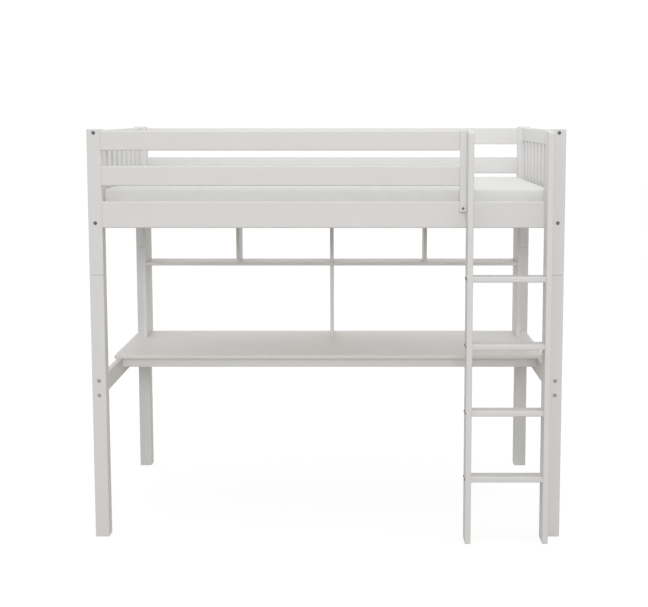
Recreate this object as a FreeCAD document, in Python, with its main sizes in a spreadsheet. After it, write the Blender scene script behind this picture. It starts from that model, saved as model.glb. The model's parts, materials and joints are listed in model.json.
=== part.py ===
import FreeCAD, Part
import math
import os
import re
import Sketcher

# White painted loft bed with a ladder, a desk with a shelf hutch under the bed, and a mattress.
# Lengths are millimetres. X runs along the bed, Y from its front to its back, and Z up from the floor.
# The origin is on the floor, in the middle of the room that the bed and its ladder take up.

# Driving sizes: name, value and what it measures
SIZES = [
    ("frame_length", 2020, "length over the posts"),
    ("frame_depth", 1105, "depth over the posts"),
    ("frame_height", 1770, "height of the posts"),
    ("post_width", 60, "side of a square post"),
    ("leg_height", 1148, "height of the joint between leg and post"),
    ("post_rounding", 4, "rounding of the posts' edges"),
    ("rail_thickness", 25, "thickness of all rails"),
    ("rail_rounding", 5, "rounding of the rails' edges"),
    ("side_rail_bottom", 1351, "underside of the side rails"),
    ("side_rail_height", 113, "height of a side rail"),
    ("guard_rail_top", 1762, "top of the upper guard rails"),
    ("guard_rail_height", 83, "height of a guard rail"),
    ("guard_rail_gap", 66, "gap between the two guard rails"),
    ("end_rail_top", 1765, "top of the end panels"),
    ("end_top_rail_height", 67, "height of an end panel's top rail"),
    ("end_bottom_rail_height", 83, "height of an end panel's bottom rail"),
    ("end_slat_count", 8, "upright slats in an end panel"),
    ("end_slat_width", 57, "width of an upright slat"),
    ("end_slat_thickness", 15, "thickness of an upright slat"),
    ("end_slat_groove", 8, "depth of the slats' grooves in the rails"),
    ("slat_rounding", 2, "rounding of the slats' edges"),
    ("ledger_width", 25, "width of a ledger under the bed slats"),
    ("ledger_height", 20, "height of a ledger"),
    ("bed_slat_count", 13, "slats under the mattress"),
    ("bed_slat_width", 70, "width of a bed slat"),
    ("bed_slat_thickness", 16, "thickness of a bed slat"),
    ("mattress_end_gap", 15, "gap between the mattress and the end panels' rails"),
    ("mattress_side_gap", 32.5, "gap between the mattress and the side rails"),
    ("mattress_height", 122, "height of the mattress at its edge"),
    ("mattress_corner", 24, "corner radius of the mattress"),
    ("mattress_edge", 12, "rounding of the mattress's rims"),
    ("mattress_draw", 4, "how far the mattress's sides draw in"),
    ("mattress_crown", 3, "rise of the mattress's top at its middle"),
    ("mattress_shoulder", 180, "width of the slope from the rim to the crown"),
    ("mattress_gap", 0.3, "gap between the mattress and its slats"),
    ("ladder_width", 356, "width over the ladder's stiles"),
    ("ladder_height", 1762, "height of the ladder's stiles"),
    ("ladder_side_gap", 4, "gap from the ladder to the post beside it"),
    ("ladder_stile_thickness", 25, "thickness of a ladder stile"),
    ("ladder_stile_depth", 90, "depth of a ladder stile"),
    ("ladder_stile_rounding", 4, "rounding of the stiles' edges"),
    ("ladder_top_corner", 14, "radius of the stiles' upper front corner"),
    ("rung_count", 4, "rungs of the ladder"),
    ("rung_thickness", 25, "thickness of a rung"),
    ("rung_depth", 65, "depth of a rung"),
    ("rung_rounding", 5, "rounding of the rungs' edges"),
    ("first_rung_top", 291, "height of the lowest rung's top"),
    ("rung_pitch", 287.4, "rise from rung to rung"),
    ("rung_bolt_spacing", 45, "distance between the two bolts of a rung end"),
    ("guard_stile_width", 28, "width of the batten beside the ladder"),
    ("guard_stile_depth", 22, "depth of the batten beside the ladder"),
    ("guard_stile_bottom", 1421, "foot of the batten beside the ladder"),
    ("guard_stile_top", 1765, "top of the batten beside the ladder"),
    ("guard_stile_bolt_rise", 15, "height of the batten's bolt over its foot"),
    ("desk_height", 717, "height of the desk's surface"),
    ("desk_thickness", 16, "thickness of the desk top"),
    ("desk_depth", 631, "depth of the desk top"),
    ("desk_end_inset", 10, "distance from the posts' outer faces to the desk's ends"),
    ("desk_dowel_inset", 200, "distance from the desk's front or back to a beam's dowel"),
    ("desk_rounding", 2, "rounding of the desk top's edges"),
    ("desk_beam_height", 83, "height of a desk end beam"),
    ("desk_beam_bolt_spacing", 63.5, "distance between the two bolts of a beam end"),
    ("apron_height", 43, "height of a desk apron"),
    ("apron_thickness", 18, "thickness of a desk apron"),
    ("apron_setback", 20, "distance from the desk's front edge to the front apron"),
    ("rear_apron_setback", 110, "distance from the back posts to the rear apron"),
    ("apron_screw_spacing", 21, "distance between the two screws of an apron end"),
    ("hutch_inset", 65, "distance from the posts' outer faces to the hutch's sides"),
    ("hutch_height", 628, "height of the hutch over the desk"),
    ("hutch_depth", 175, "depth of the hutch's sides and top"),
    ("hutch_board", 15, "thickness of the hutch's boards"),
    ("hutch_rounding", 1.5, "rounding of the hutch's edges"),
    ("shelf_rise", 362, "height of the shelf's underside over the desk"),
    ("shelf_depth", 170, "depth of the shelf and its dividers"),
    ("bolt_width", 8, "shank diameter of a frame bolt"),
    ("bolt_head_width", 15.5, "head diameter of a frame bolt"),
    ("bolt_head_height", 5, "head height of a frame bolt"),
    ("bolt_recess", 0.6, "depth of a frame bolt's head below the post's face"),
    ("bolt_socket_width", 6, "width over the corners of a bolt's hexagon socket"),
    ("bolt_socket_depth", 2, "depth of a bolt's hexagon socket"),
    ("bolt_reach", 55, "length of a frame bolt in its rail"),
    ("nut_width", 12, "diameter of a barrel nut"),
    ("nut_length", 18, "length of a barrel nut"),
    ("nut_setback", 40, "distance from a rail's end to its barrel nut"),
    ("end_top_bolt_drop", 12, "distance from an end panel's top to its upper bolts"),
    ("end_bottom_bolt_rise", 21, "height of an end panel's lower bolts over its foot"),
    ("end_dowel_spacing", 40, "distance between bolt and dowel in an end panel's rail"),
    ("side_rail_bolt_rise", 41, "height of the side rails' lower bolts over their foot"),
    ("side_rail_bolt_spacing", 56, "distance between the two bolts of a side rail's end"),
    ("guard_dowel_drop", 25, "distance from a guard rail's bolt down to its dowel"),
    ("ladder_bolt_spacing", 22, "distance between a stile's two bolts in the side rail"),
    ("ladder_bolt_reach", 45, "length of a ladder bolt in its stile"),
    ("ladder_bolt_head_width", 14, "head diameter of a ladder bolt"),
    ("ladder_bolt_head_height", 4, "head height of a ladder bolt"),
    ("rung_bolt_width", 6, "shank diameter of a rung bolt"),
    ("rung_bolt_head_width", 11, "head diameter of a rung bolt"),
    ("rung_bolt_head_height", 3, "head height of a rung bolt"),
    ("rung_bolt_socket_width", 4.6, "width over the corners of a rung bolt's hexagon socket"),
    ("rung_bolt_reach", 40, "length of a rung bolt in its rung"),
    ("guard_stile_bolt_reach", 18, "length of the batten's bolt in the side rail"),
    ("screw_width", 4, "shank diameter of a screw"),
    ("screw_head_width", 8, "head diameter of a screw"),
    ("screw_head_height", 2.5, "head height of a screw"),
    ("screw_socket_width", 3.4, "width over the corners of a screw's socket"),
    ("screw_socket_depth", 1.4, "depth of a rung bolt's or a screw's socket"),
    ("screw_recess", 0.4, "depth of a screw's head below the wood"),
    ("ledger_screw_reach", 15, "length of a ledger's screw in the side rail"),
    ("slat_screw_reach", 14, "length of a slat's screw in its ledger"),
    ("guard_stile_screw_reach", 14, "length of the batten's screws in the batten"),
    ("apron_screw_reach", 30, "length of an apron's screw in its end"),
    ("hutch_screw_reach", 25, "length of a hutch screw in a board's end"),
    ("post_dowel_width", 16, "diameter of the dowel between leg and post"),
    ("post_dowel_length", 80, "length of the dowel between leg and post"),
    ("post_dowel_web", 3, "wood between that dowel and the bolts that cross the post"),
    ("rail_dowel_width", 10, "diameter of a dowel in a rail's end"),
    ("rail_dowel_length", 50, "length of a dowel in a rail's end"),
    ("board_dowel_width", 6, "diameter of a dowel in the desk and the hutch"),
    ("board_dowel_length", 24, "length of a dowel in the desk and the hutch"),
    ("board_dowel_bite", 5, "how far such a dowel goes into a board's flat face"),
    ("board_dowel_setback", 40, "distance of such a dowel from the board's edge"),
    ("fit_clearance", 0.2, "clearance round bolts, dowels, nuts and slats"),
    ("slat_clearance", 1, "clearance at the ends of the ledgers and bed slats"),
    ("drill_runout", 1, "how far a drilled hole runs past its face or its bolt"),
]

# Places and lengths that follow from the driving sizes
RULES = {
    "half_length": "frame_length / 2",
    "front_face": "(ladder_stile_depth - frame_depth) / 2",
    "back_face": "front_face + frame_depth",
    "post_inner": "half_length - post_width",
    "inner_length": "frame_length - 2 * post_width",
    "end_centre": "half_length - post_width / 2",
    "front_post_back": "front_face + post_width",
    "back_post_front": "back_face - post_width",
    "end_span": "frame_depth - 2 * post_width",
    "guard_top_bottom": "guard_rail_top - guard_rail_height",
    "guard_lower_bottom": "guard_top_bottom - guard_rail_gap - guard_rail_height",
    "end_top_rail_bottom": "end_rail_top - end_top_rail_height",
    "end_bottom_rail_top": "side_rail_bottom + end_bottom_rail_height",
    "end_slat_bottom": "end_bottom_rail_top - end_slat_groove",
    "end_slat_pitch": "end_span / (end_slat_count + 1)",
    "ledger_top": "side_rail_bottom + ledger_height",
    "bed_slat_top": "ledger_top + bed_slat_thickness",
    "bed_slat_pitch": "inner_length / bed_slat_count",
    "mattress_bottom": "bed_slat_top + mattress_gap",
    "mattress_centre": "front_face + frame_depth / 2",
    "mattress_length": "2 * (beam_inner - mattress_end_gap)",
    "mattress_width": "frame_depth - 2 * (rail_thickness + mattress_side_gap)",
    "ladder_right": "post_inner - ladder_side_gap",
    "ladder_left": "ladder_right - ladder_width",
    "ladder_front": "front_face - ladder_stile_depth",
    "rung_length": "ladder_width - 2 * ladder_stile_thickness",
    "rung_front": "front_face - (ladder_stile_depth + rung_depth) / 2",
    "front_guard_length": "post_inner + ladder_left + ladder_stile_thickness",
    "desk_underside": "desk_height - desk_thickness",
    "desk_front": "back_post_front - desk_depth",
    "desk_length": "frame_length - 2 * desk_end_inset",
    "beam_inner": "end_centre - rail_thickness / 2",
    "beam_outer": "end_centre + rail_thickness / 2",
    "beam_bottom": "desk_underside - desk_beam_height",
    "hutch_outer": "half_length - hutch_inset",
    "hutch_inner": "hutch_outer - hutch_board",
    "hutch_front": "back_post_front - hutch_depth",
    "hutch_top_underside": "desk_height + hutch_height - hutch_board",
    "shelf_bottom": "desk_height + shelf_rise",
    "shelf_top": "shelf_bottom + hutch_board",
    "hutch_middle": "hutch_outer - hutch_board / 2",
    "divider_offset": "hutch_middle / 2",
    "bolt_length": "post_width - bolt_head_height - bolt_recess + bolt_reach",
    "sunk_screw": "screw_recess + screw_head_height",
    "post_dowel_offset": "(bolt_width + post_dowel_width) / 2 + post_dowel_web",
    "ladder_bolt_height": "side_rail_bottom + side_rail_bolt_rise + side_rail_bolt_spacing / 2",
}

SIDES = (("left", -1), ("right", 1))
ALONG_X = (1, 0, 0)
ALONG_Y = (0, 1, 0)
ALONG_Z = (0, 0, 1)

doc = FreeCAD.newDocument("LoftBed")
sheet = doc.addObject("Spreadsheet::Sheet", "Sizes")
for row, (alias, number, note) in enumerate(SIZES, start=1):
    sheet.set(f"A{row}", note)
    sheet.set(f"B{row}", str(number))
    sheet.setAlias(f"B{row}", alias)
doc.recompute()

# Boards by label, the rules of each board's low corner, the copies in each group, and what is handed on
boards = {}
corners = {}
groups = {}
nodes = {}
NEAR = 1e-6


def formula(text):
    """Write a size rule out in cells of the sheet."""
    def expand(match):
        word = match.group(0)
        if word in RULES:
            return f"({formula(RULES[word])})"
        return f"Sizes.{word}"
    return re.sub(r"[a-z_]+", expand, text)


def bind(item, name, text):
    """Tie a property of a document object to a size rule."""
    item.setExpression(name, formula(text))


def count(alias):
    """A number of copies from the sheet."""
    return round(sheet.get(alias))


def opposite(axis):
    """The direction that points the other way."""
    return tuple(-part for part in axis)


def shifted(point, axis, distance):
    """A point moved along an axis by a size rule."""
    return tuple(f"{place} + {step} * ({distance})" if step else place for place, step in zip(point, axis))


def turned(axis, across=None):
    """The rotation that lays local Z along an axis and, where given, local X along another."""
    if across is None:
        return FreeCAD.Rotation(FreeCAD.Vector(0, 0, 1), FreeCAD.Vector(*axis))
    main = FreeCAD.Vector(*axis)
    first = FreeCAD.Vector(*across)
    return FreeCAD.Rotation(first, main.cross(first), main, "ZXY")


def place_at(item, point, rotation):
    """Turn a document object and tie its place to three size rules."""
    item.Placement = FreeCAD.Placement(FreeCAD.Vector(), rotation)
    for letter, place in zip("xyz", point):
        bind(item, f"Placement.Base.{letter}", place)


def attach(sketch, body, role):
    """Lay a sketch on one of its own body's origin planes."""
    plane = next(item for item in body.Origin.OriginFeatures if item.Role == role)
    sketch.AttachmentSupport = [(plane, "")]
    sketch.MapMode = "FlatFace"


def draw_rectangle(sketch, width, depth):
    """A rectangle with its low corner at the sketch's origin."""
    points = [FreeCAD.Vector(*spot) for spot in ((0, 0, 0), (1, 0, 0), (1, 1, 0), (0, 1, 0))]
    for index, point in enumerate(points):
        sketch.addGeometry(Part.LineSegment(point, points[(index + 1) % 4]))
    for index in range(4):
        sketch.addConstraint(Sketcher.Constraint("Coincident", index, 2, (index + 1) % 4, 1))
        sketch.addConstraint(Sketcher.Constraint("Vertical" if index % 2 else "Horizontal", index))
    sketch.addConstraint(Sketcher.Constraint("Coincident", 0, 1, -1, 1))
    for index, rule in ((0, width), (1, depth)):
        number = sketch.addConstraint(Sketcher.Constraint("Distance", index, 1))
        sketch.setExpression(f"Constraints[{number}]", formula(rule))


def draw_rounded_rectangle(sketch, width, depth, radius):
    """A rectangle with rounded corners, centred on the sketch's origin."""
    half_width = sheet.evalExpression(formula(width)) / 2
    half_depth = sheet.evalExpression(formula(depth)) / 2
    corner = sheet.evalExpression(formula(radius))
    centres = []
    for across, along in ((-1, -1), (1, -1), (1, 1), (-1, 1)):
        centres.append(FreeCAD.Vector(across * (half_width - corner), along * (half_depth - corner), 0))
    for index, centre in enumerate(centres):
        start = math.pi * (1 + index / 2)
        circle = Part.Circle(centre, FreeCAD.Vector(0, 0, 1), corner)
        sketch.addGeometry(Part.ArcOfCircle(circle, start, start + math.pi / 2))
    for index in range(4):
        leave = sketch.getPoint(index, 2)
        reach = sketch.getPoint((index + 1) % 4, 1)
        sketch.addGeometry(Part.LineSegment(leave, reach))
    for index in range(4):
        following = (index + 1) % 4
        line = 4 + index
        sketch.addConstraint(Sketcher.Constraint("Tangent", index, 2, line, 1))
        sketch.addConstraint(Sketcher.Constraint("Tangent", line, 2, following, 1))
        sketch.addConstraint(Sketcher.Constraint("Vertical" if index % 2 else "Horizontal", line))
        if index:
            sketch.addConstraint(Sketcher.Constraint("Equal", 0, index))
    sketch.addConstraint(Sketcher.Constraint("Symmetric", 0, 3, 2, 3, -1, 1))
    radius_number = sketch.addConstraint(Sketcher.Constraint("Radius", 0, corner))
    sketch.setExpression(f"Constraints[{radius_number}]", formula(radius))
    for kind, across, rule in (("DistanceX", 1, width), ("DistanceY", 3, depth)):
        span = f"{rule} - 2 * ({radius})"
        length = sheet.evalExpression(formula(span))
        number = sketch.addConstraint(Sketcher.Constraint(kind, 0, 3, across, 3, length))
        sketch.setExpression(f"Constraints[{number}]", formula(span))


def round_edges(body, base, radius, names=None):
    """Round the named edges of a body's feature, or all of them."""
    fillet = body.newObject("PartDesign::Fillet", f"{body.Name}_rounding")
    fillet.Base = (base, names or [""])
    fillet.UseAllEdges = names is None
    bind(fillet, "Radius", radius)
    return fillet


def board(label, size, corner, rounding, top_corner=None, along=None, is_node=True):
    """A length of timber or a panel: a padded rectangle with its edges rounded.

    A rail whose ends butt against other pieces is rounded only along its length.
    """
    body = doc.addObject("PartDesign::Body", label)
    section = body.newObject("Sketcher::SketchObject", f"{label}_section")
    attach(section, body, "XY_Plane")
    draw_rectangle(section, size[0], size[1])
    blank = body.newObject("PartDesign::Pad", f"{label}_pad")
    blank.Profile = section
    bind(blank, "Length", size[2])
    if top_corner:
        doc.recompute()
        top = blank.Shape.BoundBox.ZMax
        names = edge_names(blank, lambda middle: abs(middle.y) < NEAR and abs(middle.z - top) < NEAR)
        blank = round_edges(body, blank, top_corner, names)
    names = None
    if along:
        doc.recompute()
        length = FreeCAD.Vector(*along)
        centre = blank.Shape.BoundBox.Center
        names = edge_names(blank, lambda middle: abs((middle - centre).dot(length)) < NEAR)
    round_edges(body, blank, rounding, names)
    place_at(body, corner, FreeCAD.Rotation())
    boards[label] = body
    corners[label] = corner
    if is_node:
        nodes[label] = body


def edge_names(feature, wanted):
    """The names of a feature's edges whose middle passes a test."""
    edges = enumerate(feature.Shape.Edges, start=1)
    return [f"Edge{number}" for number, edge in edges if wanted(edge.CenterOfMass)]


def drill(label, start, axis, diameter, depth):
    """Bore a round hole in a board, from a point along an axis."""
    body = boards[label]
    hole = body.newObject("PartDesign::SubtractiveCylinder", f"{label}_hole")
    hole.Refine = False
    local = [f"({place}) - ({corner})" for place, corner in zip(start, corners[label])]
    place_at(hole, local, turned(axis))
    bind(hole, "Radius", f"({diameter}) / 2")
    bind(hole, "Height", depth)


def mortise(label, corner, size):
    """Cut a square-edged pocket in a board, from its low corner."""
    body = boards[label]
    pocket = body.newObject("PartDesign::SubtractiveBox", f"{label}_mortise")
    pocket.Refine = False
    local = [f"({place}) - ({low})" for place, low in zip(corner, corners[label])]
    place_at(pocket, local, FreeCAD.Rotation())
    for name, rule in zip(("Length", "Width", "Height"), size):
        bind(pocket, name, rule)


def copy_at(group, source, point, rotation):
    """Add a copy of a body to a group."""
    copies = groups.setdefault(group, [])
    copy = doc.addObject("App::Link", f"{group}_{len(copies) + 1}")
    copy.LinkedObject = source
    place_at(copy, point, rotation)
    copies.append(copy)


def fastener(label, width, head_width, head_height, length, socket_width, socket_depth):
    """A bolt or screw along +Z from the top of its rounded head, with a hexagon socket."""
    body = doc.addObject("PartDesign::Body", label)
    head = body.newObject("PartDesign::AdditiveCylinder", f"{label}_head")
    bind(head, "Radius", f"{head_width} / 2")
    bind(head, "Height", head_height)
    shank = body.newObject("PartDesign::AdditiveCylinder", f"{label}_shank")
    bind(shank, "Radius", f"{width} / 2")
    bind(shank, "Height", f"{head_height} + {length}")
    doc.recompute()
    rim = edge_names(shank, lambda middle: abs(middle.z) < NEAR)
    round_edges(body, shank, f"{head_height} / 2", rim)
    socket = body.newObject("PartDesign::SubtractivePrism", f"{label}_socket")
    bind(socket, "Circumradius", f"{socket_width} / 2")
    bind(socket, "Height", socket_depth)
    sizes = {"width": width, "head_width": head_width, "head_height": head_height, "length": length}
    return {"body": body, **sizes}


def frame_bolt(label, length):
    """A large frame bolt of a given length."""
    sizes = ("bolt_width", "bolt_head_width", "bolt_head_height", length)
    return fastener(label, *sizes, "bolt_socket_width", "bolt_socket_depth")


def small_bolt(label, length):
    """A bolt as in the ladder's rungs, of a given length."""
    sizes = ("rung_bolt_width", "rung_bolt_head_width", "rung_bolt_head_height", length)
    return fastener(label, *sizes, "rung_bolt_socket_width", "screw_socket_depth")


def screw(label, length):
    """A wood screw of a given length."""
    sizes = ("screw_width", "screw_head_width", "screw_head_height", length)
    return fastener(label, *sizes, "screw_socket_width", "screw_socket_depth")


def fasten(group, kind, face, axis, drilled, sunk_in=None, recess=None):
    """Drive a bolt or screw from a face point through boards, standing proud or sunk by a recess.

    The board that it is sunk in is bored for the head, unless that board is a copy of a bored one.
    """
    head_height = kind["head_height"]
    if recess:
        top = shifted(face, axis, recess)
        sunk = f"{recess} + {head_height}"
    else:
        top = shifted(face, opposite(axis), head_height)
        sunk = "0"
    copy_at(group, kind["body"], top, turned(axis))
    start = shifted(face, opposite(axis), "drill_runout")
    for label in drilled:
        depth = f"{sunk} + {kind['length']} + 2 * drill_runout"
        drill(label, start, axis, f"{kind['width']} + 2 * fit_clearance", depth)
    if sunk_in:
        drill(sunk_in, start, axis, f"{kind['head_width']} + 2 * fit_clearance", f"{sunk} + drill_runout")


def rail_bolt(group, post, rail, face, axis, nut_axis):
    """Bolt a rail's end to a post, into a barrel nut that goes into the rail from one face."""
    fasten(group, RAIL_BOLT, face, axis, (post, rail), sunk_in=post, recess="bolt_recess")
    centre = shifted(face, axis, "post_width + nut_setback")
    low_end = shifted(centre, opposite(nut_axis), "nut_length / 2")
    copy_at("barrel_nuts", BARREL_NUT, low_end, turned(nut_axis, axis))
    mouth = shifted(centre, opposite(nut_axis), "rail_thickness / 2 + drill_runout")
    depth = "rail_thickness / 2 + drill_runout + nut_length / 2"
    drill(rail, mouth, nut_axis, "nut_width + 2 * fit_clearance", depth)


def dowel(label, width, length):
    """A round wooden pin along +Z."""
    body = doc.addObject("PartDesign::Body", label)
    pin = body.newObject("PartDesign::AdditiveCylinder", f"{label}_pin")
    bind(pin, "Radius", f"{width} / 2")
    bind(pin, "Height", length)
    return {"body": body, "width": width, "length": length}


def peg(group, kind, start, axis, drilled):
    """Set a dowel in two boards, from one of its ends."""
    copy_at(group, kind["body"], start, turned(axis))
    mouth = shifted(start, opposite(axis), "drill_runout")
    width = f"{kind['width']} + 2 * fit_clearance"
    for label in drilled:
        drill(label, mouth, axis, width, f"{kind['length']} + 2 * drill_runout")


def corner_posts():
    """Four legs, with the posts that stand on them and a dowel in each joint."""
    for side, sign in SIDES:
        for row, low_face in (("front", "front_face"), ("back", "back_post_front")):
            leg = f"leg_{row}_{side}"
            post = f"post_{row}_{side}"
            square = ("post_width", "post_width")
            low_x = f"{sign} * end_centre - post_width / 2"
            board(leg, (*square, "leg_height"), (low_x, low_face, "0"), "post_rounding")
            post_corner = (low_x, low_face, "leg_height")
            board(post, (*square, "frame_height - leg_height"), post_corner, "post_rounding")
            middle = f"{low_face} + post_width / 2"
            across = f"{sign} * (end_centre + post_dowel_offset)"
            foot = (across, middle, "leg_height - post_dowel_length / 2")
            peg("post_dowels", POST_DOWEL, foot, ALONG_Z, (leg, post))


def end_panels():
    """A panel of upright slats between two rails at each end of the bed."""
    slat_height = "end_top_rail_bottom - end_bottom_rail_top + 2 * end_slat_groove"
    slat_size = ("end_slat_thickness", "end_slat_width", slat_height)
    board("end_slat", slat_size, ("0", "0", "end_slat_bottom"), "slat_rounding", is_node=False)
    mortise_size = ("end_slat_thickness + 2 * fit_clearance", "end_slat_width + 2 * fit_clearance")
    for side, sign in SIDES:
        across = f"{sign} * end_centre - rail_thickness / 2"
        top_rail = f"{side}_end_top_rail"
        bottom_rail = f"{side}_end_bottom_rail"
        rail_size = ("rail_thickness", "end_span")
        top_corner = (across, "front_post_back", "end_top_rail_bottom")
        bottom_corner = (across, "front_post_back", "side_rail_bottom")
        board(top_rail, (*rail_size, "end_top_rail_height"), top_corner, "rail_rounding", along=ALONG_Y)
        bottom_size = (*rail_size, "end_bottom_rail_height")
        board(bottom_rail, bottom_size, bottom_corner, "rail_rounding", along=ALONG_Y)
        for number in range(1, count("end_slat_count") + 1):
            low_x = f"{sign} * end_centre - end_slat_thickness / 2"
            low_y = f"front_post_back + {number} * end_slat_pitch - end_slat_width / 2"
            slat_corner = (low_x, low_y, "end_slat_bottom")
            copy_at(f"{side}_end_slats", boards["end_slat"], slat_corner, FreeCAD.Rotation())
            low_spot = (f"{low_x} - fit_clearance", f"{low_y} - fit_clearance")
            depth = "end_slat_groove + drill_runout"
            mortise(bottom_rail, (*low_spot, "end_slat_bottom"), (*mortise_size, depth))
            top_spot = (*low_spot, "end_top_rail_bottom - drill_runout")
            mortise(top_rail, top_spot, (*mortise_size, f"{depth} + fit_clearance"))
        upper_bolt = "end_rail_top - end_top_bolt_drop"
        lower_bolt = "side_rail_bottom + end_bottom_bolt_rise"
        joints = (
            (top_rail, upper_bolt, f"{upper_bolt} - end_dowel_spacing"),
            (bottom_rail, lower_bolt, f"{lower_bolt} + end_dowel_spacing"),
        )
        for row, face, axis in POST_FACES:
            post = f"post_{row}_{side}"
            for rail, bolt_height, dowel_height in joints:
                bolt_face = (f"{sign} * end_centre", face, bolt_height)
                rail_bolt("end_panel_bolts", post, rail, bolt_face, axis, (-sign, 0, 0))
                dowel_face = (f"{sign} * end_centre", face, dowel_height)
                start = shifted(dowel_face, axis, "post_width - rail_dowel_length / 2")
                peg("rail_dowels", RAIL_DOWEL, start, axis, (post, rail))


def side_rails():
    """The two long rails that carry the bed, bolted between the posts."""
    for row, low_face in LONG_RAILS:
        rail = f"side_rail_{row}"
        size = ("inner_length", "rail_thickness", "side_rail_height")
        corner = ("-1 * post_inner", low_face, "side_rail_bottom")
        board(rail, size, corner, "rail_rounding", along=ALONG_X)
        for side, sign in SIDES:
            for step in (0, 1):
                height = f"side_rail_bottom + side_rail_bolt_rise + {step} * side_rail_bolt_spacing"
                face = (f"{sign} * half_length", f"{low_face} + rail_thickness / 2", height)
                post = f"post_{row}_{side}"
                rail_bolt("side_rail_bolts", post, rail, face, (-sign, 0, 0), opposite(ALONG_Y))


def guard_rails():
    """Two guard rails at the back, and two at the front that end behind the ladder."""
    for row, low_face in LONG_RAILS:
        length = "front_guard_length" if row == "front" else "inner_length"
        sides = SIDES[:1] if row == "front" else SIDES
        for level in ("top", "lower"):
            rail = f"guard_rail_{row}_{level}"
            foot = f"guard_{level}_bottom"
            corner = ("-1 * post_inner", low_face, foot)
            size = (length, "rail_thickness", "guard_rail_height")
            board(rail, size, corner, "rail_rounding", along=ALONG_X)
            for side, sign in sides:
                post = f"post_{row}_{side}"
                inward = (-sign, 0, 0)
                middle = f"{low_face} + rail_thickness / 2"
                face = (f"{sign} * half_length", middle, f"{foot} + guard_rail_height / 2")
                rail_bolt("guard_rail_bolts", post, rail, face, inward, opposite(ALONG_Y))
                lowered = shifted(face, opposite(ALONG_Z), "guard_dowel_drop")
                start = shifted(lowered, inward, "post_width - rail_dowel_length / 2")
                peg("rail_dowels", RAIL_DOWEL, start, inward, (post, rail))


def bed_base():
    """Ledgers screwed inside the side rails, and the slats that lie across them."""
    ledger_size = ("inner_length - 2 * slat_clearance", "ledger_width", "ledger_height")
    front_low = "front_face + rail_thickness"
    back_low = "back_face - rail_thickness - ledger_width"
    ledgers = (
        ("front", front_low, f"{front_low} + ledger_width", opposite(ALONG_Y)),
        ("back", back_low, back_low, ALONG_Y),
    )
    slat_front = "front_face + rail_thickness + slat_clearance"
    slat_length = "frame_depth - 2 * rail_thickness - 2 * slat_clearance"
    first_slat = "(bed_slat_pitch - bed_slat_width) / 2 - post_inner"
    slat_size = ("bed_slat_width", slat_length, "bed_slat_thickness")
    board("bed_slat", slat_size, (first_slat, slat_front, "ledger_top"), "slat_rounding", is_node=False)
    slats = count("bed_slat_count")
    for row, low_face, screw_face, outward in ledgers:
        ledger = f"ledger_{row}"
        corner = ("slat_clearance - post_inner", low_face, "side_rail_bottom")
        board(ledger, ledger_size, corner, "slat_rounding")
        for number in range(1, slats, 2):
            between_slats = f"{number} * bed_slat_pitch - post_inner"
            spot = (between_slats, screw_face, "side_rail_bottom + ledger_height / 2")
            drilled = (ledger, f"side_rail_{row}")
            fasten("ledger_screws", LEDGER_SCREW, spot, outward, drilled, ledger, "screw_recess")
    for number in range(slats):
        low_x = f"{first_slat} + {number} * bed_slat_pitch"
        copy_at("bed_slats", boards["bed_slat"], (low_x, slat_front, "ledger_top"), FreeCAD.Rotation())
        for row, low_face, _, _ in ledgers:
            spot = (f"{low_x} + bed_slat_width / 2", f"{low_face} + ledger_width / 2", "bed_slat_top")
            drilled = (f"ledger_{row}",)
            sunk_in = None
            if number == 0:
                drilled += ("bed_slat",)
                sunk_in = "bed_slat"
            fasten("slat_screws", SLAT_SCREW, spot, opposite(ALONG_Z), drilled, sunk_in, "screw_recess")


def ladder():
    """An upright ladder of two stiles and flat rungs, bolted to the rails from inside the bed."""
    stile_size = ("ladder_stile_thickness", "ladder_stile_depth", "ladder_height")
    low_sides = {"left": "ladder_left", "right": "ladder_right - ladder_stile_thickness"}
    for side, low_x in low_sides.items():
        corner = (low_x, "ladder_front", "0")
        stile = f"ladder_stile_{side}"
        board(stile, stile_size, corner, "ladder_stile_rounding", top_corner="ladder_top_corner")
    rung_size = ("rung_length", "rung_depth", "rung_thickness")
    rung_bolt = small_bolt("rung_bolt", "ladder_stile_thickness + rung_bolt_reach")
    for number in range(count("rung_count")):
        rung = f"ladder_rung_{number + 1}"
        low_z = f"first_rung_top + {number} * rung_pitch - rung_thickness"
        corner = ("ladder_left + ladder_stile_thickness", "rung_front", low_z)
        board(rung, rung_size, corner, "rung_rounding", along=ALONG_X)
        for side, sign in SIDES:
            for shift in (-1, 1):
                across = f"rung_front + (rung_depth + {shift} * rung_bolt_spacing) / 2"
                face = (f"ladder_{side}", across, f"{low_z} + rung_thickness / 2")
                fasten("rung_bolts", rung_bolt, face, (-sign, 0, 0), (f"ladder_stile_{side}", rung))
    holds = [("side_rail_front", side, f"ladder_bolt_height + {shift} * ladder_bolt_spacing / 2")
             for side in low_sides for shift in (-1, 1)]
    holds += [(f"guard_rail_front_{level}", "left", f"guard_{level}_bottom + guard_rail_height / 2")
              for level in ("top", "lower")]
    ladder_bolt = fastener("ladder_bolt", "bolt_width", "ladder_bolt_head_width", "ladder_bolt_head_height",
                           "rail_thickness + ladder_bolt_reach", "bolt_socket_width", "bolt_socket_depth")
    for rail, side, height in holds:
        face = (f"{low_sides[side]} + ladder_stile_thickness / 2", "front_face + rail_thickness", height)
        fasten("ladder_bolts", ladder_bolt, face, opposite(ALONG_Y), (rail, f"ladder_stile_{side}"))


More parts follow.
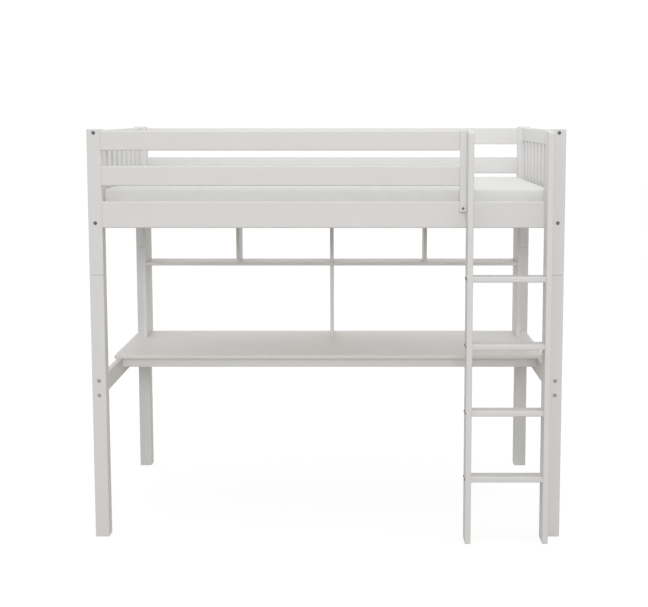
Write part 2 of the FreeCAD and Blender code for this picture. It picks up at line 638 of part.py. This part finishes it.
def guard_stile():
    """The batten that ties the front guard rails to the side rail beside the ladder."""
    size = ("guard_stile_width", "guard_stile_depth", "guard_stile_top - guard_stile_bottom")
    low_x = "ladder_left - guard_stile_width"
    front = "front_face - guard_stile_depth"
    board("guard_rail_stile", size, (low_x, front, "guard_stile_bottom"), "slat_rounding")
    middle = f"{low_x} + guard_stile_width / 2"
    bolt = small_bolt("guard_stile_bolt_pattern", "guard_stile_depth + guard_stile_bolt_reach")
    face = (middle, front, "guard_stile_bottom + guard_stile_bolt_rise")
    fasten("guard_stile_bolt", bolt, face, ALONG_Y, ("guard_rail_stile", "side_rail_front"))
    stile_screw = screw("guard_stile_screw", "rail_thickness - sunk_screw + guard_stile_screw_reach")
    for level in ("top", "lower"):
        rail = f"guard_rail_front_{level}"
        face = (middle, "front_face + rail_thickness", f"guard_{level}_bottom + guard_rail_height / 2")
        drilled = (rail, "guard_rail_stile")
        fasten("guard_stile_screws", stile_screw, face, opposite(ALONG_Y), drilled, rail, "screw_recess")


def desk():
    """A desk top on two beams between the legs, with an apron under its front and its back."""
    corner = ("-1 * desk_length / 2", "desk_front", "desk_underside")
    board("desk_top", ("desk_length", "desk_depth", "desk_thickness"), corner, "desk_rounding")
    aprons = {
        "front": "desk_front + apron_setback",
        "rear": "back_post_front - rear_apron_setback - apron_thickness",
    }
    apron_foot = "desk_underside - apron_height"
    for row, low_y in aprons.items():
        size = ("2 * beam_inner", "apron_thickness", "apron_height")
        board(f"desk_{row}_apron", size, ("-1 * beam_inner", low_y, apron_foot), "slat_rounding")
    apron_screw = screw("apron_screw", "rail_thickness - sunk_screw + apron_screw_reach")
    for side, sign in SIDES:
        beam = f"desk_beam_{side}"
        corner = (f"{sign} * end_centre - rail_thickness / 2", "front_post_back", "beam_bottom")
        size = ("rail_thickness", "end_span", "desk_beam_height")
        board(beam, size, corner, "rail_rounding", along=ALONG_Y)
        inward = (-sign, 0, 0)
        for shift in (-1, 1):
            bolt_height = f"beam_bottom + (desk_beam_height + {shift} * desk_beam_bolt_spacing) / 2"
            for row, face, axis in POST_FACES:
                bolt_face = (f"{sign} * end_centre", face, bolt_height)
                rail_bolt("desk_beam_bolts", f"leg_{row}_{side}", beam, bolt_face, axis, inward)
            for row, low_y in aprons.items():
                height = f"{apron_foot} + (apron_height + {shift} * apron_screw_spacing) / 2"
                face = (f"{sign} * beam_outer", f"{low_y} + apron_thickness / 2", height)
                drilled = (beam, f"desk_{row}_apron")
                fasten("apron_screws", apron_screw, face, inward, drilled, beam, "screw_recess")
        for place in ("desk_front + desk_dowel_inset", "back_post_front - desk_dowel_inset"):
            start = (f"{sign} * end_centre", place, "desk_underside + board_dowel_bite - board_dowel_length")
            peg("board_dowels", BOARD_DOWEL, start, ALONG_Z, (beam, "desk_top"))


def hutch():
    """An open shelf unit on the back of the desk, with bays above its shelf."""
    for side, sign in SIDES:
        corner = (f"{sign} * hutch_middle - hutch_board / 2", "hutch_front", "desk_height")
        size = ("hutch_board", "hutch_depth", "hutch_height")
        board(f"hutch_panel_{side}", size, corner, "hutch_rounding")
    levels = (
        ("hutch_shelf", "shelf_depth", "shelf_bottom"),
        ("hutch_top", "hutch_depth", "hutch_top_underside"),
    )
    board_screw = screw("hutch_screw", "hutch_board - sunk_screw + hutch_screw_reach")
    for label, depth, low_z in levels:
        size = ("2 * hutch_inner", depth, "hutch_board")
        board(label, size, ("-1 * hutch_inner", "hutch_front", low_z), "hutch_rounding")
        for side, sign in SIDES:
            panel = f"hutch_panel_{side}"
            for place in DOWEL_PLACES:
                face = (f"{sign} * hutch_outer", place, f"{low_z} + hutch_board / 2")
                drilled = (panel, label)
                fasten("hutch_screws", board_screw, face, (-sign, 0, 0), drilled, panel, "screw_recess")
    upper_span = ("hutch_shelf", "shelf_top", "hutch_top", "hutch_top_underside")
    lower_span = ("desk_top", "desk_height", "hutch_shelf", "shelf_bottom")
    dividers = (
        ("hutch_divider_left", -1, *upper_span),
        ("hutch_divider_centre", 0, *upper_span),
        ("hutch_divider_right", 1, *upper_span),
        ("hutch_foot_divider", 0, *lower_span),
    )
    for label, step, under, low_z, over, high_z in dividers:
        middle = f"{step} * divider_offset"
        corner = (f"{middle} - hutch_board / 2", "hutch_front", low_z)
        board(label, ("hutch_board", "shelf_depth", f"{high_z} - ({low_z})"), corner, "hutch_rounding")
        for place in DOWEL_PLACES:
            foot = (middle, place, f"{low_z} - board_dowel_bite")
            peg("board_dowels", BOARD_DOWEL, foot, ALONG_Z, (under, label))
            head = (middle, place, f"{high_z} + board_dowel_bite - board_dowel_length")
            peg("board_dowels", BOARD_DOWEL, head, ALONG_Z, (label, over))
    for side, sign in SIDES:
        for place in DOWEL_PLACES:
            foot = (f"{sign} * hutch_middle", place, "desk_height - board_dowel_bite")
            peg("board_dowels", BOARD_DOWEL, foot, ALONG_Z, ("desk_top", f"hutch_panel_{side}"))


def mattress():
    """A loose mattress with rounded rims, sides that draw in and a low crown."""
    body = doc.addObject("PartDesign::Body", "mattress")
    rim = []
    for step in range(RIM_STEPS + 1):
        angle = math.pi / 2 * step / RIM_STEPS
        rise = f"mattress_edge * {1 - math.cos(angle):.4f}"
        inset = f"mattress_edge * {1 - math.sin(angle):.4f}"
        rim.append((rise, inset))
    levels = [*rim, ("mattress_height / 2", "mattress_draw")]
    levels += [(f"mattress_height - {rise}", inset) for rise, inset in reversed(rim)]
    levels.append(("mattress_height + mattress_crown", "mattress_edge + mattress_shoulder"))
    sections = []
    for number, (height, inset) in enumerate(levels):
        section = body.newObject("Sketcher::SketchObject", f"mattress_section_{number}")
        attach(section, body, "XY_Plane")
        bind(section, "AttachmentOffset.Base.z", height)
        is_crown = number == len(levels) - 1
        radius = "mattress_corner" if is_crown else f"mattress_corner - {inset}"
        length, width = (f"mattress_{name} - 2 * ({inset})" for name in ("length", "width"))
        draw_rounded_rectangle(section, length, width, radius)
        sections.append(section)
    doc.recompute()
    form = body.newObject("PartDesign::AdditiveLoft", "mattress_form")
    form.Profile = sections[0]
    form.Sections = sections[1:]
    form.Ruled = True
    place_at(body, ("0", "mattress_centre", "mattress_bottom"), FreeCAD.Rotation())
    nodes["mattress"] = body


def gather_groups():
    """Join the copies of each group in one compound of separate solids."""
    for label, copies in groups.items():
        compound = doc.addObject("Part::Compound", label)
        compound.Links = copies
        nodes[compound.Label] = compound


def check_model():
    """Stop if any object failed, or any piece is missing or not a sound solid."""
    for item in doc.Objects:
        if "Invalid" in item.State or "Error" in item.State:
            raise RuntimeError(f"{item.Label} failed: {item.State}")
    for label, item in nodes.items():
        shape = item.Shape
        if item.Label != label or shape.isNull() or not shape.isValid() or not shape.Solids:
            raise RuntimeError(f"{label} is not a sound solid")


def barrel_nut():
    """A round cross nut along +Z with a hole for its bolt along X."""
    body = doc.addObject("PartDesign::Body", "barrel_nut")
    barrel = body.newObject("PartDesign::AdditiveCylinder", "barrel_nut_barrel")
    bind(barrel, "Radius", "nut_width / 2")
    bind(barrel, "Height", "nut_length")
    bore = body.newObject("PartDesign::SubtractiveCylinder", "barrel_nut_bore")
    place_at(bore, ("-1 * nut_width", "0", "nut_length / 2"), turned(ALONG_X))
    bind(bore, "Radius", "bolt_width / 2 + fit_clearance")
    bind(bore, "Height", "2 * nut_width")
    return body


POST_FACES = (("front", "front_face", ALONG_Y), ("back", "back_face", opposite(ALONG_Y)))
LONG_RAILS = (("front", "front_face"), ("back", "back_face - rail_thickness"))
DOWEL_PLACES = ("hutch_front + board_dowel_setback", "hutch_front + shelf_depth - board_dowel_setback")
RIM_STEPS = 3
RAIL_BOLT = frame_bolt("frame_bolt", "bolt_length")
BARREL_NUT = barrel_nut()
POST_DOWEL = dowel("post_dowel", "post_dowel_width", "post_dowel_length")
RAIL_DOWEL = dowel("rail_dowel", "rail_dowel_width", "rail_dowel_length")
BOARD_DOWEL = dowel("board_dowel", "board_dowel_width", "board_dowel_length")
LEDGER_SCREW = screw("ledger_screw", "ledger_width - sunk_screw + ledger_screw_reach")
SLAT_SCREW = screw("slat_screw", "bed_slat_thickness - sunk_screw + slat_screw_reach")

corner_posts()
end_panels()
side_rails()
guard_rails()
bed_base()
ladder()
guard_stile()
desk()
hutch()
mattress()
gather_groups()
doc.recompute()
check_model()

os.makedirs("parts", exist_ok=True)
for label, item in nodes.items():
    item.Shape.exportStep(f"parts/{label}.step")
print(len(nodes), "pieces written")
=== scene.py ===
import json
import math
import bmesh
import bpy
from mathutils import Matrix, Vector


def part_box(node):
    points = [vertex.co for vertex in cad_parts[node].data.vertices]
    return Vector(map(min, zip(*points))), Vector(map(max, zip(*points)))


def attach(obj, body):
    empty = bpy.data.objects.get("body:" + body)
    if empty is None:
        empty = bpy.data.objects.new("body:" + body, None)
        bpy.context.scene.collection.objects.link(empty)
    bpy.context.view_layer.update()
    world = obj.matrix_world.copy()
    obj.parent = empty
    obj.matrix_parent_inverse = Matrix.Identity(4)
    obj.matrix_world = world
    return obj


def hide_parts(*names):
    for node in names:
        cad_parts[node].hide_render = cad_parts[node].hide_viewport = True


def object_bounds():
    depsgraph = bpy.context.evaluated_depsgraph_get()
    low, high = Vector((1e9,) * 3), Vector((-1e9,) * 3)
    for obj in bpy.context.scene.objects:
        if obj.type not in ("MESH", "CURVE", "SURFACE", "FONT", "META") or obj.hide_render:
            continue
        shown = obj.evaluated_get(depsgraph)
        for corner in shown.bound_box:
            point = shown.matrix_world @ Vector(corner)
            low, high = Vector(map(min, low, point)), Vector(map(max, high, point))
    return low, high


# White painted loft bed with a desk, a shelf hutch, a ladder and a mattress.
# Lengths are metres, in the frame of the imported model: X along the bed, Y to its back, Z up.

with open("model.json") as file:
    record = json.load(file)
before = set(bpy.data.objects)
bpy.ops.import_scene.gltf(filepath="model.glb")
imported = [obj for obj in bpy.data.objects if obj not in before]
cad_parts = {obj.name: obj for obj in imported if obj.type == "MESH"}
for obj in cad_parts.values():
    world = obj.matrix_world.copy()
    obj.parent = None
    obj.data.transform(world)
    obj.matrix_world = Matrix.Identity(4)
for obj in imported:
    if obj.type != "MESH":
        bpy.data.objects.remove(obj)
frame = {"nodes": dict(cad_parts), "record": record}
cad_low, cad_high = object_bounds()
nodes = frame["nodes"]
slot_of = {row["node"]: row["material_slot"] for row in frame["record"]["subparts"]}

AXES = ("x", "y", "z")

# Colours as linear red, green and blue
PAINT_LIGHT = (0.774, 0.770, 0.764, 1.0)
PAINT_DARK = (0.760, 0.756, 0.750, 1.0)
BOARD_LIGHT = (0.804, 0.786, 0.756, 1.0)
BOARD_DARK = (0.788, 0.770, 0.740, 1.0)
COVER_LIGHT = (0.832, 0.830, 0.824, 1.0)
COVER_DARK = (0.812, 0.810, 0.803, 1.0)
DARK_BOLT = (0.115, 0.115, 0.114, 1.0)
DARK_BOLT_WORN = (0.195, 0.194, 0.192, 1.0)
GREY_BOLT = (0.330, 0.328, 0.323, 1.0)
GREY_BOLT_WORN = (0.418, 0.416, 0.409, 1.0)
ZINC = (0.480, 0.480, 0.470, 1.0)
ZINC_WORN = (0.600, 0.600, 0.585, 1.0)
BARE_WOOD = (0.560, 0.390, 0.220, 1.0)
BARE_WOOD_DARK = (0.420, 0.270, 0.140, 1.0)
FLOOR_COLOUR = (0.360, 0.338, 0.306, 1.0)
FLOOR_SHADED = (0.220, 0.220, 0.220, 1.0)
WHITE = (1.0, 1.0, 1.0, 1.0)

# In the finishes below, CELLS count a pattern's cells to the metre, RELIEF is its depth in metres,
# a SPAN is where a pattern goes from its first tone to its second, and ROUGHNESS is from low to high.
PLAIN_DETAIL = 3.0
FINE_DETAIL = 2.0
PLAIN_CONTRAST = 0.5

# Paint, with the fibres of the wood, brush marks, fine peel and a slow change of tone
FIBRE_STRETCH = 0.03
FIBRE_CELLS = 420.0
FIBRE_DETAIL = 5.0
FIBRE_CONTRAST = 0.6
FIBRE_RELIEF = 0.000012
BRUSH_CELLS = 900.0
BRUSH_RELIEF = 0.000006
PEEL_CELLS = 650.0
PEEL_RELIEF = 0.000012
PAINT_TONE_CELLS = 5.0
PAINT_SPAN = (0.25, 0.6)
PAINT_ROUGHNESS = (0.42, 0.54)
PAINT_SHINE = 0.4

# Boards whose white is a little warmer than the frame's
WARM_BOARDS = ("desk_top", "desk_beam", "hutch_shelf", "hutch_divider", "hutch_foot", "hutch_top")

# Groups of boards whose wood doesn't run along the group's longest side, with the axis it runs along
WOOD_AXIS = {"left_end_slats": 2, "right_end_slats": 2, "bed_slats": 1}

# Bolts, screws and nuts, with worn patches and turned marks
PATCH_CELLS = 160.0
PATCH_DETAIL = 4.0
PATCH_SPAN = (0.4, 0.75)
MARK_CELLS = 1800.0
MARK_RELIEF = 0.00002
BOLT_ROUGHNESS = (0.34, 0.52)
BOLT_METALLIC = 0.6
SCREW_METALLIC = 0.9

# Dowels, with fine pores along the wood
PORE_STRETCH = (1.0, 1.0, 0.1)
PORE_CELLS = 500.0
PORE_DETAIL = 6.0
PORE_CONTRAST = 0.6
PORE_SPAN = (0.35, 0.65)
PORE_RELIEF = 0.0001
WOOD_ROUGHNESS = (0.55, 0.75)

# Knitted cover, with rows of stitches and uneven yarn
STITCH_SCALE = 140.0
STITCH_DISTORTION = 1.5
STITCH_DETAIL = 1.0
STITCH_DETAIL_SCALE = 2.0
STITCH_RELIEF = 0.0001
SLUB_CELLS = 35.0
SLUB_DETAIL = 4.0
SLUB_SPAN = (0.3, 0.6)
SLUB_RELIEF = 0.00015
COVER_ROUGHNESS = (0.82, 0.96)
COVER_SHINE = 0.2
COVER_SHEEN = 0.1
COVER_SHEEN_ROUGHNESS = 0.5


# Small helpers for the node materials

def new_material(name):
    """A node material with its tree and its main shader."""
    material = bpy.data.materials.new(name)
    material.use_nodes = True
    tree = material.node_tree
    return material, tree, tree.nodes["Principled BSDF"]


def add_node(tree, kind, inputs=None, **settings):
    """A node with its settings, whose inputs are numbers or other nodes' outputs."""
    node = tree.nodes.new(kind)
    for name, value in settings.items():
        setattr(node, name, value)
    for name, value in (inputs or {}).items():
        if isinstance(value, bpy.types.NodeSocket):
            tree.links.new(value, node.inputs[name])
        else:
            node.inputs[name].default_value = value
    return node


def combine(tree, operation, first, second):
    """The sum or the product of two patterns, or the larger of the two."""
    return add_node(tree, "ShaderNodeMath", {0: first, 1: second}, operation=operation).outputs["Value"]


def object_place(tree, stretch=(1.0, 1.0, 1.0)):
    """The point on the piece, stretched where a pattern runs along one axis."""
    spot = add_node(tree, "ShaderNodeTexCoord").outputs["Object"]
    return add_node(tree, "ShaderNodeMapping", {"Vector": spot, "Scale": stretch}).outputs["Vector"]


def noise(tree, place, cells, detail=PLAIN_DETAIL, contrast=PLAIN_CONTRAST):
    """Soft random variation of a given number of cells to the metre."""
    inputs = {"Vector": place, "Scale": cells, "Detail": detail, "Roughness": contrast}
    return add_node(tree, "ShaderNodeTexNoise", inputs).outputs["Fac"]


def two_tones(tree, amount, first, second, span):
    """A colour that goes from one tone to another as a pattern rises."""
    ramp = add_node(tree, "ShaderNodeValToRGB", {"Fac": amount})
    for element, place, tone in zip(ramp.color_ramp.elements, span, (first, second)):
        element.position = place
        element.color = tone
    return ramp.outputs["Color"]


def between(tree, amount, low, high):
    """A number that goes from low to high as a pattern goes from 0 to 1."""
    inputs = {"Value": amount, "To Min": low, "To Max": high}
    return add_node(tree, "ShaderNodeMapRange", inputs).outputs["Result"]


def bump(tree, height, relief, below=None):
    """Relief of a real depth, on top of another relief where one is given."""
    inputs = {"Height": height, "Distance": relief, "Strength": 1.0}
    if below is not None:
        inputs["Normal"] = below
    return add_node(tree, "ShaderNodeBump", inputs).outputs["Normal"]


def finish_shader(tree, shader, colour, roughness, normal):
    """Join the patterns of a finish to the main shader."""
    tree.links.new(colour, shader.inputs["Base Color"])
    tree.links.new(roughness, shader.inputs["Roughness"])
    tree.links.new(normal, shader.inputs["Normal"])


# Finishes

def white_paint(name, axis, dark, light):
    """Satin white paint over boards whose wood runs along one axis, with the fibres faintly in relief."""
    material, tree, shader = new_material(f"{name}_along_{AXES[axis]}")
    stretch = [1.0, 1.0, 1.0]
    stretch[axis] = FIBRE_STRETCH
    fibres = noise(tree, object_place(tree, stretch), FIBRE_CELLS, FIBRE_DETAIL, FIBRE_CONTRAST)
    brushed = noise(tree, object_place(tree, stretch), BRUSH_CELLS, FINE_DETAIL)
    level = noise(tree, object_place(tree), PAINT_TONE_CELLS)
    peel = noise(tree, object_place(tree), PEEL_CELLS, FINE_DETAIL)
    colour = two_tones(tree, level, dark, light, PAINT_SPAN)
    relief = bump(tree, fibres, FIBRE_RELIEF)
    relief = bump(tree, brushed, BRUSH_RELIEF, relief)
    relief = bump(tree, peel, PEEL_RELIEF, relief)
    finish_shader(tree, shader, colour, between(tree, fibres, *PAINT_ROUGHNESS), relief)
    shader.inputs["Specular IOR Level"].default_value = PAINT_SHINE
    return material


def bolt_metal(name, tone, worn, metallic):
    """Plated bolt steel with turned marks and worn patches."""
    material, tree, shader = new_material(name)
    patches = noise(tree, object_place(tree), PATCH_CELLS, PATCH_DETAIL)
    marks = noise(tree, object_place(tree), MARK_CELLS, FINE_DETAIL)
    colour = two_tones(tree, patches, tone, worn, PATCH_SPAN)
    relief = bump(tree, marks, MARK_RELIEF)
    finish_shader(tree, shader, colour, between(tree, patches, *BOLT_ROUGHNESS), relief)
    shader.inputs["Metallic"].default_value = metallic
    return material


def bare_wood():
    """Unpainted beech of the dowels, with its fine dark pores."""
    material, tree, shader = new_material("bare_wood")
    pores = noise(tree, object_place(tree, PORE_STRETCH), PORE_CELLS, PORE_DETAIL, PORE_CONTRAST)
    colour = two_tones(tree, pores, BARE_WOOD_DARK, BARE_WOOD, PORE_SPAN)
    relief = bump(tree, pores, PORE_RELIEF)
    finish_shader(tree, shader, colour, between(tree, pores, *WOOD_ROUGHNESS), relief)
    return material


def stitch_rows(tree, place, way):
    """Rows of stitches that follow each other along one axis."""
    inputs = {"Vector": place, "Scale": STITCH_SCALE, "Distortion": STITCH_DISTORTION,
              "Detail": STITCH_DETAIL, "Detail Scale": STITCH_DETAIL_SCALE}
    return add_node(tree, "ShaderNodeTexWave", inputs, bands_direction=way).outputs["Fac"]


def mattress_cover():
    """White knitted cover: crossing rows of stitches over a softly uneven cloth."""
    material, tree, shader = new_material("mattress_cover")
    place = object_place(tree)
    rows_x, rows_y, rows_z = [stitch_rows(tree, place, way) for way in ("X", "Y", "Z")]
    stitches = combine(tree, "ADD", combine(tree, "MULTIPLY", rows_x, rows_y), rows_z)
    slubs = noise(tree, place, SLUB_CELLS, SLUB_DETAIL)
    colour = two_tones(tree, slubs, COVER_DARK, COVER_LIGHT, SLUB_SPAN)
    relief = bump(tree, stitches, STITCH_RELIEF)
    relief = bump(tree, slubs, SLUB_RELIEF, relief)
    finish_shader(tree, shader, colour, between(tree, slubs, *COVER_ROUGHNESS), relief)
    shader.inputs["Specular IOR Level"].default_value = COVER_SHINE
    shader.inputs["Sheen Weight"].default_value = COVER_SHEEN
    shader.inputs["Sheen Roughness"].default_value = COVER_SHEEN_ROUGHNESS
    return material


def longest_axis(node):
    """The axis along which a board is longest, which is the way its wood runs."""
    low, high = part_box(node)
    spans = [high[axis] - low[axis] for axis in range(len(AXES))]
    return spans.index(max(spans))


def dress_nodes():
    """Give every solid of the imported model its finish, apart from the mattress, which is replaced."""
    paints = [white_paint("white_paint", axis, PAINT_DARK, PAINT_LIGHT) for axis in range(len(AXES))]
    boards = [white_paint("desk_board", axis, BOARD_DARK, BOARD_LIGHT) for axis in range(len(AXES))]
    finishes = {
        "dark_bolts": bolt_metal("dark_bolts", DARK_BOLT, DARK_BOLT_WORN, BOLT_METALLIC),
        "grey_bolts": bolt_metal("grey_bolts", GREY_BOLT, GREY_BOLT_WORN, BOLT_METALLIC),
        "screws": bolt_metal("zinc_screws", ZINC, ZINC_WORN, SCREW_METALLIC),
        "dowels": bare_wood(),
    }
    for name, piece in nodes.items():
        slot = slot_of[name]
        if slot == "mattress_cover":
            continue
        if slot == "white_paint":
            axis = WOOD_AXIS.get(name, longest_axis(name))
            material = boards[axis] if name.startswith(WARM_BOARDS) else paints[axis]
        else:
            material = finishes[slot]
        piece.data.materials.clear()
        piece.data.materials.append(material)


# Mattress

# The cover's cloth: the size and least number of its cells, how long it swells, its pressure and stiffness
CLOTH_CELL = 0.024
FEWEST_CELLS = 2
CLOTH_FRAMES = 20
CLOTH_PRESSURE = 4.0
CLOTH_STIFFNESS = 25.0
CLOTH_BENDING = 4.0

# How far the cover may swell, how far inside its room it starts, and how far its top rises above the solid
SWELL_LIMIT = 0.004
START_INSET = 0.003
TOP_RISE = 0.005

# Rounding of the block's upright corners and of its rims, which lie round faces that are nearly level
CORNER_RADIUS = 0.012
CORNER_STEPS = 4
RIM_RADIUS = 0.011
RIM_STEPS = 3
LEVEL_FACE = 0.9

# Step and span of the number that puts the block's faces in order
ORDER_STEP = 0.0001
ORDER_SPAN = 100000

# The axes along which the cover is spread, and its subdivision
LEVEL_AXES = (0, 1)
SMOOTH_LEVELS = 1


def link(name, mesh):
    """A new object in the scene from a mesh."""
    piece = bpy.data.objects.new(name, mesh)
    bpy.context.scene.collection.objects.link(piece)
    return piece


def evaluated_mesh(piece):
    """A copy of a piece's mesh with its modifiers applied."""
    graph = bpy.context.evaluated_depsgraph_get()
    return bpy.data.meshes.new_from_object(piece.evaluated_get(graph))


def round_edges(shape, edges, radius, steps):
    """Round some edges of a shape."""
    bmesh.ops.bevel(shape, geom=edges, offset=radius, offset_type="OFFSET", affect="EDGES",
                    segments=steps, profile=0.5, material=-1)


def cut_across(shape, axis, low, high):
    """Cut a shape across one axis into cells of about the cloth's size."""
    span = high - low
    cells = max(FEWEST_CELLS, round(span / CLOTH_CELL))
    normal = [0.0, 0.0, 0.0]
    normal[axis] = 1.0
    for number in range(1, cells):
        place = [0.0, 0.0, 0.0]
        place[axis] = low + span * number / cells
        everything = list(shape.verts) + list(shape.edges) + list(shape.faces)
        bmesh.ops.bisect_plane(shape, geom=everything, plane_co=place, plane_no=normal)


def place_order(face):
    """A number that puts faces in the order of their places, so that the cloth is the same each run."""
    x, y, z = (round(place / ORDER_STEP) for place in face.calc_center_median())
    return float((z * ORDER_SPAN + y) * ORDER_SPAN + x)


def mattress_block(low, high):
    """The mattress's foam core, a block with round corners and tight round rims, cut into cells."""
    shape = bmesh.new()
    bmesh.ops.create_cube(shape, size=1.0)
    bmesh.ops.scale(shape, vec=[end - start for start, end in zip(low, high)], verts=shape.verts)
    bmesh.ops.translate(shape, vec=[(start + end) / 2 for start, end in zip(low, high)], verts=shape.verts)
    upright = [edge for edge in shape.edges if abs(edge.verts[0].co.z - edge.verts[1].co.z) > RIM_RADIUS]
    round_edges(shape, upright, CORNER_RADIUS, CORNER_STEPS)
    flats = [face for face in shape.faces if abs(face.normal.z) > LEVEL_FACE]
    rims = [edge for face in flats for edge in face.edges]
    round_edges(shape, rims, RIM_RADIUS, RIM_STEPS)
    for axis, radius in enumerate((CORNER_RADIUS, CORNER_RADIUS, RIM_RADIUS)):
        cut_across(shape, axis, low[axis] + radius, high[axis] - radius)
    shape.faces.sort(key=place_order)
    mesh = bpy.data.meshes.new("mattress_cover")
    shape.to_mesh(mesh)
    shape.free()
    return mesh


def swell(piece):
    """Let the cover swell as cloth under pressure, no further than the limit at any point."""
    before = [vertex.co.copy() for vertex in piece.data.vertices]
    cloth = piece.modifiers.new("cover", "CLOTH")
    cloth.settings.use_pressure = True
    cloth.settings.uniform_pressure_force = CLOTH_PRESSURE
    cloth.settings.effector_weights.gravity = 0.0
    cloth.settings.tension_stiffness = CLOTH_STIFFNESS
    cloth.settings.compression_stiffness = CLOTH_STIFFNESS
    cloth.settings.bending_stiffness = CLOTH_BENDING
    scene = bpy.context.scene
    for number in range(1, CLOTH_FRAMES + 1):
        scene.frame_set(number)
    swollen = evaluated_mesh(piece)
    after = [vertex.co.copy() for vertex in swollen.vertices]
    piece.modifiers.clear()
    scene.frame_set(1)
    bpy.data.meshes.remove(swollen)
    for vertex, start, end in zip(piece.data.vertices, before, after):
        step = end - start
        if step.length > SWELL_LIMIT:
            step *= SWELL_LIMIT / step.length
        vertex.co = start + step


def fill_room(mesh, low, high):
    """Spread the cover to the ends and sides of its room, and keep it between the slats and the top."""
    for axis in LEVEL_AXES:
        places = [vertex.co[axis] for vertex in mesh.vertices]
        start = min(places)
        stretch = (high[axis] - low[axis]) / (max(places) - start)
        for vertex, place in zip(mesh.vertices, places):
            vertex.co[axis] = low[axis] + (place - start) * stretch
    for vertex in mesh.vertices:
        vertex.co.z = min(max(vertex.co.z, low.z), high.z)


def make_mattress():
    """The mattress with its knitted cover, which stands a little higher than its solid."""
    low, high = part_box("mattress")
    high.z += TOP_RISE
    inset_low = [place + START_INSET for place in low]
    inset_high = [place - START_INSET for place in high]
    cover = link("mattress_cover", mattress_block(inset_low, inset_high))
    swell(cover)
    fill_room(cover.data, low, high)
    smooth = cover.modifiers.new("soft", "SUBSURF")
    smooth.levels = SMOOTH_LEVELS
    smooth.render_levels = SMOOTH_LEVELS
    for face in cover.data.polygons:
        face.use_smooth = True
    cover.data.materials.clear()
    cover.data.materials.append(mattress_cover())
    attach(cover, "mattress")
    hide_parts("mattress")


# Floor and light

FLOOR_SIZE = 60.0
FLOOR_DROP = 0.0005
FLOOR_GLOW = 0.84
SKY_STRENGTH = 0.815
BACKDROP_STRENGTH = 1.04
LIGHT_AIM = (0.0, 0.0, 0.9)
# Each lamp's place, its width and height, and its power in watts
LAMPS = {
    "front_box": ((0.1, -10.0, 3.9), (2.0, 2.0), 232.0),
    "top_box": ((0.0, -0.4, 5.2), (4.0, 3.0), 21.0),
    "back_box": ((0.0, 6.0, 3.4), (4.0, 3.0), 22.0),
}


def plain_rays(tree):
    """1 for the rays that show a background, in the picture and in bright metal, and 0 for the rest."""
    path = add_node(tree, "ShaderNodeLightPath")
    seen = combine(tree, "MAXIMUM", path.outputs["Is Camera Ray"], path.outputs["Is Glossy Ray"])
    return combine(tree, "MAXIMUM", seen, path.outputs["Is Transmission Ray"])


def floor_material():
    """A pale floor, which shows nearly white and still takes the bed's shadow."""
    material = bpy.data.materials.new("pale_floor")
    material.use_nodes = True
    tree = material.node_tree
    tree.nodes.remove(tree.nodes["Principled BSDF"])
    pale = add_node(tree, "ShaderNodeBsdfDiffuse", {"Color": FLOOR_COLOUR})
    shaded = add_node(tree, "ShaderNodeBsdfDiffuse", {"Color": FLOOR_SHADED})
    glow = add_node(tree, "ShaderNodeEmission", {"Color": WHITE, "Strength": FLOOR_GLOW})
    white = add_node(tree, "ShaderNodeAddShader", {0: shaded.outputs["BSDF"], 1: glow.outputs["Emission"]})
    choices = {0: plain_rays(tree), 1: pale.outputs["BSDF"], 2: white.outputs["Shader"]}
    mix = add_node(tree, "ShaderNodeMixShader", choices)
    tree.links.new(mix.outputs["Shader"], tree.nodes["Material Output"].inputs["Surface"])
    return material


def make_floor():
    """A level floor under the legs."""
    shape = bmesh.new()
    bmesh.ops.create_grid(shape, x_segments=1, y_segments=1, size=FLOOR_SIZE / 2)
    bmesh.ops.translate(shape, vec=(0.0, 0.0, cad_low.z - FLOOR_DROP), verts=shape.verts)
    mesh = bpy.data.meshes.new("floor")
    shape.to_mesh(mesh)
    shape.free()
    mesh.materials.append(floor_material())
    link("floor", mesh)


def make_light():
    """Soft light from all round and three large soft boxes: in front, above and behind."""
    world = bpy.data.worlds.new("studio")
    bpy.context.scene.world = world
    world.use_nodes = True
    tree = world.node_tree
    sky = tree.nodes["Background"]
    sky.inputs["Color"].default_value = WHITE
    strength = between(tree, plain_rays(tree), SKY_STRENGTH, BACKDROP_STRENGTH)
    tree.links.new(strength, sky.inputs["Strength"])
    for name, (place, (width, height), power) in LAMPS.items():
        lamp = bpy.data.lights.new(name, "AREA")
        lamp.shape = "RECTANGLE"
        lamp.size = width
        lamp.size_y = height
        lamp.energy = power
        box = bpy.data.objects.new(name, lamp)
        box.location = place
        box.rotation_euler = (Vector(place) - Vector(LIGHT_AIM)).to_track_quat("Z", "Y").to_euler()
        bpy.context.scene.collection.objects.link(box)


# Camera, with the photograph's frame in pixels, its place in metres and its tilt in degrees

PHOTO_WIDTH = 648
SENSOR_WIDTH = 36.0
FOCAL_PIXELS = 1168.8
SHIFT_PIXELS = (-35.6, -66.0)
CAMERA_PLACE = (0.140, -5.440, 1.826)
CAMERA_PITCH = 5.96
LEVEL_TILT = 90.0


def make_camera():
    """The camera of the photograph, held a little downwards, with its lens shifted for the framing."""
    lens = bpy.data.cameras.new("camera")
    lens.sensor_width = SENSOR_WIDTH
    lens.lens = FOCAL_PIXELS * SENSOR_WIDTH / PHOTO_WIDTH
    lens.shift_x = SHIFT_PIXELS[0] / PHOTO_WIDTH
    lens.shift_y = SHIFT_PIXELS[1] / PHOTO_WIDTH
    camera = bpy.data.objects.new("camera", lens)
    camera.location = CAMERA_PLACE
    camera.rotation_euler = (math.radians(LEVEL_TILT - CAMERA_PITCH), 0.0, 0.0)
    bpy.context.scene.collection.objects.link(camera)
    bpy.context.scene.camera = camera


dress_nodes()
make_mattress()
make_floor()
make_light()
make_camera()
bpy.context.scene.view_settings.view_transform = "Standard"
